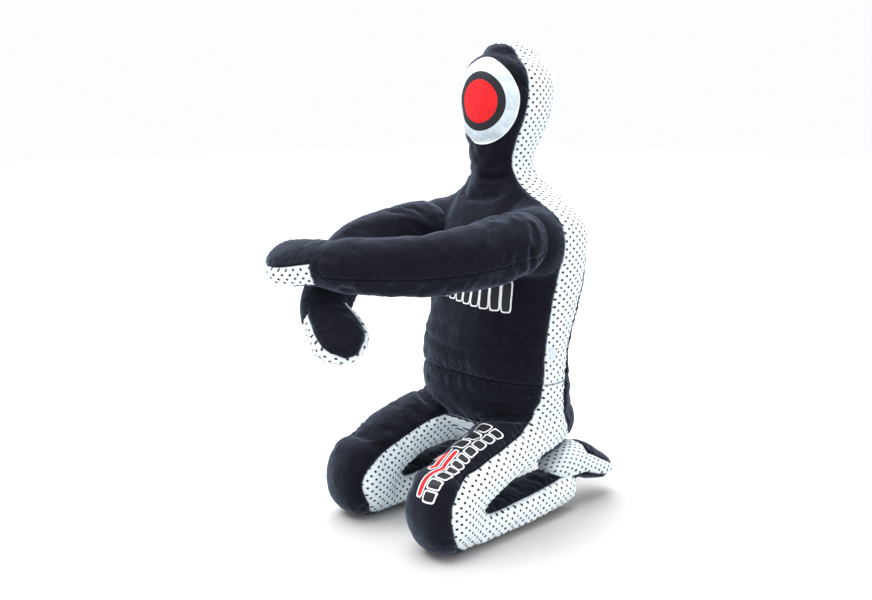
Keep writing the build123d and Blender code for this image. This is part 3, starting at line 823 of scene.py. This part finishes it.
def make_sleeve(side):
    """An arm's one skin, from shoulder to wrist."""
    rows = SLEEVES[side]
    obj = skin(f"Sleeve_{side}", [tube(rows, (0, 0, 1), 2.1, 48)], 0.0065, 6)
    path = spline(rows)

    def seam(co):
        """Height above the seam that runs along the sleeve's underside edge."""
        nearest = np.argmin(((co[:, None, :] - path[None, ::2, :3]) ** 2).sum(2), axis=1) * 2
        return co[:, 2] - (path[nearest, 2] - 0.34 * path[nearest, 3])

    co = points(obj.data)
    root = np.linalg.norm(co - path[0, :3], axis=1)
    at_seam = np.exp(-((seam(co) / 0.006) ** 2)) * 0.8
    held = np.maximum(at_seam, np.clip((0.09 - root) / 0.03, 0, 1))
    stuff(obj, held, 0.010)
    finer(obj)
    co, out = points(obj.data), normals(obj.data)
    for line, depth, width in ARM_FOLDS[side]:
        co = crease(co, out, line, depth * 1.5, width)
    co = lumps(co, out, 0.0040)
    put(obj.data, co)
    cut_along(obj, seam(co))
    co, out = points(obj.data), normals(obj.data)
    co, near = tighten(co, out, [seam(co)], 0.0016, 0.0028, 0.0006)
    put(obj.data, co)
    made = panels(obj, [f"Sleeve_{side}"] * len(obj.data.polygons), near, np.zeros_like(co))
    return made[f"Sleeve_{side}"]


def make_hand(side):
    """A mitten: back, palm and the gusset round its edge."""
    along, palm, wrist = HANDS[side]
    along = unit(along)
    facing = unit(np.array(palm) - along * np.dot(palm, along))
    across = np.cross(facing, along)
    rows = [(*(wrist + along * s), a, b) for s, a, b in HAND]
    obj = skin(f"hand_{side}", [tube(rows, across, 2.9, 48)], 0.0055, 6)
    table = np.array(HAND)

    def edge(co):
        """Positive on the gusset round the hand's edge."""
        q = co - wrist
        s = q @ along
        depth = np.interp(s, table[:, 0], table[:, 2])
        return np.minimum(0.66 * depth - np.abs(q @ facing), s - 0.004)

    co = points(obj.data)
    held = np.exp(-((edge(co) / 0.005) ** 2)) * 0.9
    stuff(obj, held, 0.008)
    finer(obj)
    co = points(obj.data)
    cut_along(obj, edge(co))
    co, out = points(obj.data), normals(obj.data)
    co, near = tighten(co, out, [edge(co)], 0.0028, 0.0035, 0.0006)
    centre = faces_of(obj.data)
    put(obj.data, co)
    gusset, inward = edge(centre) > 0, (centre - wrist) @ facing > 0
    kinds = np.where(gusset, "Hand_gusset", np.where(inward, "Palm", "Hand_back"))
    which = [f"{kind}_{side}" for kind in kinds]
    q = co - wrist
    turn = np.arctan2(q @ across, q @ along - 0.05) * 0.062
    return panels(obj, which, near, np.stack([q @ facing, turn, np.zeros(len(co))], 1))


def make_foot(side):
    """A foot lying on its instep: sole, instep and the gusset round its edge."""
    rows = FOOT if side == "left" else other(FOOT)
    obj = skin(f"foot_{side}", [tube(rows, X_AXIS, 2.6, 48)], 0.0055, 8)
    table = np.array(rows)

    def edge(co):
        """Positive on the gusset round the foot's edge and over its heel."""
        middle = np.interp(co[:, 1], table[:, 1], table[:, 2])
        depth = np.interp(co[:, 1], table[:, 1], table[:, 4])
        band = 0.60 * depth - np.abs(co[:, 2] - middle)
        return np.maximum(band, np.minimum(0.122 - co[:, 1], co[:, 2] - middle + 0.6 * depth))

    co = points(obj.data)
    held = np.exp(-((edge(co) / 0.005) ** 2)) * 0.9
    stuff(obj, held, 0.008)
    finer(obj)
    co, out = points(obj.data), normals(obj.data)
    sign = 1 if side == "left" else -1
    for y, z in ((0.072, 0.070), (0.128, 0.120)):
        top, middle, foot = (0.200, y - 0.004, z + 0.02), (0.212, y + 0.010, z - 0.005), (0.205, y + 0.022, z - 0.03)
        co = crease(co, out, [(sign * x, *rest) for x, *rest in (top, middle, foot)], 0.0025, 0.008)
    put(obj.data, settle(co))
    cut_along(obj, edge(points(obj.data)))
    co, out = points(obj.data), normals(obj.data)
    co, near = tighten(co, out, [edge(co)], 0.0028, 0.0035, 0.0006)
    centre = faces_of(obj.data)
    put(obj.data, settle(co))
    gusset = edge(centre) > 0
    sole = centre[:, 2] > np.interp(centre[:, 1], table[:, 1], table[:, 2])
    kinds = np.where(gusset, "Foot_gusset", np.where(sole, "Sole", "Instep"))
    which = [f"{kind}_{side}" for kind in kinds]
    lay = [co[:, 1] + 0.4 * co[:, 2], co[:, 2] - sign * co[:, 0], np.zeros(len(co))]
    return panels(obj, which, near, np.stack(lay, 1))


# Prints ------------------------------------------------------------------------------------------


RINGS = 7  # rows of points from a print's hole to its outline


def printed(name, bvh, place, outline, hole, lift, material):
    """A thin printed shape laid on the fabric. outline and hole are closed 2-D outlines with equal counts."""
    flat = np.vstack([hole + (outline - hole) * k / (RINGS - 1) for k in range(RINGS)])
    count = len(outline)
    verts, ok = [], []
    for u, v in flat:
        start, aim = place(u, v)
        hit, out, _, _ = bvh.ray_cast(Vector(start), Vector(aim))
        ok.append(hit is not None)
        verts.append(hit + out * (lift if out.dot(Vector(aim)) < 0 else -lift) if hit else Vector(start))
    faces = []
    for i in range(RINGS - 1):
        for j in range(count):
            k = (j + 1) % count
            face = (i * count + j, i * count + k, (i + 1) * count + k, (i + 1) * count + j)
            if all(ok[f] for f in face):
                faces.append(face)
    obj = mesh_object(name, verts, faces)
    bm = bmesh.new()
    bm.from_mesh(obj.data)
    bmesh.ops.delete(bm, geom=[v for v in bm.verts if not v.link_faces], context="VERTS")
    bmesh.ops.remove_doubles(bm, verts=bm.verts, dist=1e-5)
    bmesh.ops.recalc_face_normals(bm, faces=bm.faces)
    bm.to_mesh(obj.data)
    bm.free()
    obj.data.polygons.foreach_set("use_smooth", [True] * len(obj.data.polygons))
    attribute(obj.data, "rest", "FLOAT_VECTOR", points(obj.data))
    obj.data.materials.append(material)
    return obj


def oval(u, v, half_u, half_v):
    a = np.arange(96) / 96 * 2 * math.pi
    return np.stack([u + half_u * np.cos(a), v + half_v * np.sin(a)], 1)


def evenly(outline, count):
    """The same closed outline with its points spread evenly."""
    closed = np.vstack([outline, outline[:1]])
    run = np.concatenate([[0], np.cumsum(np.linalg.norm(np.diff(closed, axis=0), axis=1))])
    spots = np.arange(count) / count * run[-1]
    return np.stack([np.interp(spots, run, closed[:, k]) for k in (0, 1)], 1)


def block(u, v, half_u, half_v, round_off=0.35):
    """A bar with rounded corners."""
    a = np.arange(720) / 720 * 2 * math.pi
    c, s = np.cos(a), np.sin(a)
    power = 2 / (2 + 6 * (1 - round_off))
    x, y = np.sign(c) * np.abs(c) ** power * half_u, np.sign(s) * np.abs(s) ** power * half_v
    return evenly(np.stack([u + x, v + y], 1), 72)


def tree_of(*objs):
    """The surfaces of some pieces together, for casting rays at."""
    verts, faces = [], []
    for o in objs:
        faces += [tuple(i + len(verts) for i in p.vertices) for p in o.data.polygons]
        verts += [v.co.copy() for v in o.data.vertices]
    return BVHTree.FromPolygons(verts, faces)


# Putting it together -----------------------------------------------------------------------------

PARTS = make_trunk()
SKINS = {side: make_sleeve(side) for side in ("left", "right")}
for side in ("left", "right"):
    PARTS.update(make_hand(side))
    PARTS.update(make_foot(side))
for side, sleeve in SKINS.items():
    PARTS[f"Sleeve_{side}"] = sleeve

face_tree = tree_of(PARTS["Face"])
chest_tree = tree_of(PARTS["Chest"])
thigh_tree = tree_of(PARTS["Thigh_front_left"], PARTS["Belly"])
gusset_tree = tree_of(PARTS["Torso_gusset_left"])


def on_face(u, v):
    """u runs round the head from the middle of the face."""
    turn = u / 0.103
    way = np.array([math.sin(turn), -math.cos(turn), 0.0])
    return tuple(np.array([0, 0.049, v]) + way * 0.3), tuple(-way)


def on_chest(u, v):
    """From straight in front."""
    return (u, -0.5, v), (0, 1, 0)


def on_thigh(u, v):
    """v runs along the thigh and then down the front of the knee."""
    turn = max(v - 0.115, 0.0) / 0.105
    way = np.array([0, -math.sin(turn), math.cos(turn)])
    middle = np.array([0.147 + u, -0.132 - min(v, 0.115), 0.13])
    return tuple(middle + way * 0.3), tuple(-way)


def on_side(u, v):
    """From the dummy's left."""
    return (0.6, 0.020 + u, v), (-1, 0, 0)


PRINTS = {}
TARGET_U, TARGET_Z = 0.011, 0.967
TARGET_EDGES = (0.0985, 0.0955, 0.0672, 0.0490, 0.0001)
PRINT_LIFT = 0.0007
WHITE_LINE = 0.003
SPOT = (1e-4, 1e-4)  # half sides of a hole too small to see
for i, material in enumerate((WHITE, PALE, BLACK, RED)):
    outline, hole = (oval(TARGET_U, TARGET_Z, edge * 0.985, edge) for edge in TARGET_EDGES[i : i + 2])
    PRINTS[f"Target_{i}"] = (printed(f"Target_{i}", face_tree, on_face, outline, hole, 0.0010, material), "head")


def outlined(name, where, u, v, half_u, half_v, material, round_off):
    """A printed block with a white line round it, on the chest or the left thigh."""
    bvh, place = (chest_tree, on_chest) if where == "chest" else (thigh_tree, on_thigh)
    line = block(u, v, half_u + WHITE_LINE, half_v + WHITE_LINE, round_off)
    fill = block(u, v, half_u, half_v, round_off)
    shapes = {"edge": (line, fill, WHITE), "fill": (fill, block(u, v, *SPOT), material)}
    for end, (outline, hole, paint) in shapes.items():
        made = printed(f"{name}_{end}", bvh, place, outline, hole, PRINT_LIFT, paint)
        PRINTS[f"{name}_{end}"] = (made, where)


for i in range(9):
    outlined(f"Chest_print_{i}", "chest", -0.064 + 0.0235 * i, 0.555 - 0.003 * i, 0.0088, 0.034, BLACK, 0.35)
bars = [(-0.003, 0.194, 0.0056, 0.072), (-0.024, 0.164, 0.0056, 0.042), (-0.044, 0.143, 0.0050, 0.021)]
for i, bar in enumerate(bars):
    outlined(f"Thigh_bar_{i}", "thigh", *bar, RED, 0.1)
for i in range(10):
    outlined(f"Thigh_block_{i}", "thigh", 0.023, 0.262 - 0.0262 * i, 0.0122, 0.0092, BLACK, 0.45)
for i in range(3):
    outlined(f"Thigh_tag_{i}", "thigh", -0.016, 0.096 - 0.0335 * i, 0.0175, 0.0125, BLACK, 0.45)
LABEL_AT = (-0.023, 0.398)
outline, hole = block(*LABEL_AT, 0.009, 0.016, 0.15), block(*LABEL_AT, *SPOT)
PRINTS["Side_label"] = (printed("Side_label", gusset_tree, on_side, outline, hole, 0.0012, PALE), "torso")

for obj in [*PARTS.values(), *[p for p, _ in PRINTS.values()]]:
    for v in obj.data.vertices:
        v.co.y += AHEAD[1]


def at(p):
    """A point of the body's own, in the frame."""
    return tuple(np.array(p) + AHEAD)


def across_neck(obj):
    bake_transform(obj, "torso", "head", at((0, 0.038, 0.792)), at((0, 0.038, 0.862)))


def across_waist(obj):
    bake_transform(obj, "pelvis", "torso", at((0, 0, WAIST_Z + 0.012)), at((0, 0, WAIST_Z + 0.110)))


def across_hip(obj, side):
    end = GROIN - GROIN_OUT * 0.12
    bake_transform(obj, "pelvis", f"{side}_thigh", at(GROIN), at(end))


def across_elbow(obj, side):
    elbow = joint_at(f"{side}_elbow_bend")
    way = unit(joint_at(f"{side}_wrist_bend") - joint_at(f"{side}_shoulder_raise"))
    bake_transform(obj, f"{side}_upper_arm", f"{side}_forearm", at(elbow - way * 0.05), at(elbow + way * 0.05))


REPLACED = {
    "Face": ["face_panel", "head_stuffing"],
    "Head_gusset": ["head_gusset"],
    "Head_back": ["head_back_panel"],
    "Chest": ["chest_panel", "torso_stuffing"],
    "Torso_gusset_left": ["torso_gussets"],
    "Torso_back": ["torso_back_panel"],
    "Belly": ["belly_panel", "pelvis_stuffing"],
    "Seat": ["seat_panel"],
    "Target_0": ["target_patch"],
    "Chest_print_0_edge": ["chest_print"],
    "Side_label": ["side_label"],
}
for s in ("left", "right"):
    REPLACED[f"Sleeve_{s}"] = [
        f"{s}_upper_sleeve", f"{s}_upper_arm_stuffing", f"{s}_forearm_sleeve", f"{s}_forearm_stuffing",
    ]
    REPLACED[f"Hand_back_{s}"] = [f"{s}_hand_back_panel", f"{s}_hand_stuffing"]
    REPLACED[f"Palm_{s}"] = [f"{s}_palm_panel"]
    REPLACED[f"Hand_gusset_{s}"] = [f"{s}_hand_gusset"]
    REPLACED[f"Thigh_front_{s}"] = [f"{s}_thigh_front_panel", f"{s}_thigh_stuffing"]
    REPLACED[f"Thigh_outer_{s}"] = [f"{s}_thigh_gussets"] + (["hip_gussets"] if s == "left" else [])
    REPLACED[f"Thigh_back_{s}"] = [f"{s}_thigh_back_panel"]
    REPLACED[f"Calf_{s}"] = [f"{s}_calf_panel", f"{s}_shin_stuffing"]
    REPLACED[f"Shin_gusset_{s}"] = [f"{s}_shin_gussets"]
    REPLACED[f"Shin_front_{s}"] = [f"{s}_shin_front_panel"]
    REPLACED[f"Sole_{s}"] = [f"{s}_sole_panel", f"{s}_foot_stuffing"]
    REPLACED[f"Instep_{s}"] = [f"{s}_instep_panel"]
    REPLACED[f"Foot_gusset_{s}"] = [f"{s}_foot_gussets"]

for name, obj in PARTS.items():
    side = "left" if name.endswith("left") else "right"
    dotted = "gusset" in name or "Thigh_outer" in name or "Thigh_inner" in name
    obj.data.materials.clear()
    obj.data.materials.append(DOTTED if dotted else CANVAS)
    kind = name.split("_")[0]
    if kind in ("Face", "Head"):
        across_neck(obj)
    elif kind in ("Chest", "Torso"):
        across_waist(obj)
    elif kind in ("Belly", "Seat"):
        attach(obj, "pelvis")
    elif kind == "Thigh":
        across_hip(obj, side)
    elif kind in ("Shin", "Calf"):
        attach(obj, f"{side}_shin")
    elif kind == "Sleeve":
        across_elbow(obj, side)
    elif kind in ("Palm", "Hand"):
        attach(obj, f"{side}_hand")
    else:
        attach(obj, f"{side}_foot")
for obj, where in PRINTS.values():
    if where == "head":
        across_neck(obj)
    elif where == "thigh":
        across_hip(obj, "left")
    else:
        across_waist(obj)
for name, nodes in REPLACED.items():
    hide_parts(*nodes)

# Inside each knee: a round filler that shows only where the knee opens.
KNEE_FILLER = ((-0.034, 0.062), (-0.020, 0.083), (0.020, 0.083), (0.034, 0.062))  # place across, and radius
for side, sign in (("left", 1), ("right", -1)):
    middle = np.array([sign * LEG_X, knee[1], knee[2]])
    rows = [(*(middle + np.array([w, 0, 0])), r, r) for w, r in KNEE_FILLER]
    verts, faces = tube(rows, (0, 1, 0), 2.0, 64)
    verts[:, 2] = np.maximum(verts[:, 2], 0.004)
    hidden = mesh_object(f"Knee_inside_{side}", verts + AHEAD, faces)
    hidden.data.polygons.foreach_set("use_smooth", [True] * len(hidden.data.polygons))
    attribute(hidden.data, "rest", "FLOAT_VECTOR", points(hidden.data))
    attribute(hidden.data, "seam", "FLOAT", np.ones(len(verts)))
    hidden.data.materials.append(CANVAS)
    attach(hidden, f"{side}_thigh")

finish_of = {
    "zip_tapes": print_material("zip_tape_cloth", (0.012, 0.012, 0.017), 0.8),
    "zip_teeth": hard_material("zip_teeth_plastic", (0.02, 0.02, 0.025), 0.0, 0.35),
    "zip_slider": hard_material("zip_slider_metal", (0.35, 0.35, 0.37), 1.0, 0.35),
    "zip_pull": hard_material("zip_pull_metal", (0.32, 0.32, 0.34), 1.0, 0.3),
}
for node, material in finish_of.items():
    mesh = frame["nodes"][node].data
    mesh.materials.clear()
    mesh.materials.append(material)

# Floor, light and camera -------------------------------------------------------------------------

bpy.ops.mesh.primitive_plane_add(size=30, location=(0, 0, 0))
floor = bpy.context.object
floor.name = "floor"
paint = Nodes("floor_paint")
patches = paint.noise(paint.put("ShaderNodeTexCoord").outputs["Object"], 3.0)
tone = paint.mix(patches, (0.46, 0.46, 0.46, 1), (0.48, 0.48, 0.48, 1))
paint.link(tone, paint.shader.inputs["Base Color"])
paint.shader.inputs["Roughness"].default_value = 0.7
floor.data.materials.append(paint.material)

world = bpy.data.worlds.new("studio")
scene.world = world
world.use_nodes = True
backdrop = world.node_tree.nodes["Background"]
backdrop.inputs["Color"].default_value = (0.97, 0.98, 1.0, 1)
backdrop.inputs["Strength"].default_value = 1.0


def lamp(name, place, size, power, colour=(1, 1, 1)):
    light = bpy.data.lights.new(name, "AREA")
    light.shape, light.size, light.energy, light.color = "DISK", size, power, colour
    obj = bpy.data.objects.new(name, light)
    scene.collection.objects.link(obj)
    obj.location = place
    obj.rotation_euler = (Vector((0, 0, 0.5)) - Vector(place)).to_track_quat("-Z", "Y").to_euler()


lamp("key", (-1.2, -1.6, 2.8), 2.0, 16, (0.96, 0.98, 1.0))
lamp("fill", (3.0, -0.5, 1.2), 2.2, 16)
lamp("rim", (-1.6, 1.9, 2.4), 1.8, 34, (0.92, 0.95, 1.0))
ceiling = bpy.data.objects.new("ceiling", bpy.data.lights.new("ceiling", "SUN"))
ceiling.data.energy, ceiling.data.angle = 5.2, math.radians(60)
ceiling.rotation_euler = (math.radians(8), math.radians(-14), 0)
scene.collection.objects.link(ceiling)

AZIMUTH, ELEVATION, DISTANCE = math.radians(45), math.radians(10.3), 2.33
level = math.cos(ELEVATION)
back = np.array([math.sin(AZIMUTH) * level, -math.cos(AZIMUTH) * level, math.sin(ELEVATION)])
camera = bpy.data.objects.new("camera", bpy.data.cameras.new("camera"))
scene.collection.objects.link(camera)
camera.data.lens, camera.data.sensor_width = 40.0, 36.0
camera.data.shift_x, camera.data.shift_y = -0.0645, -0.026
camera.location = Vector(np.array([0, 0, 0.55]) + AHEAD + back * DISTANCE)
camera.rotation_euler = Vector(-back).to_track_quat("-Z", "Y").to_euler()
scene.camera = camera
scene.view_settings.view_transform = "Standard"
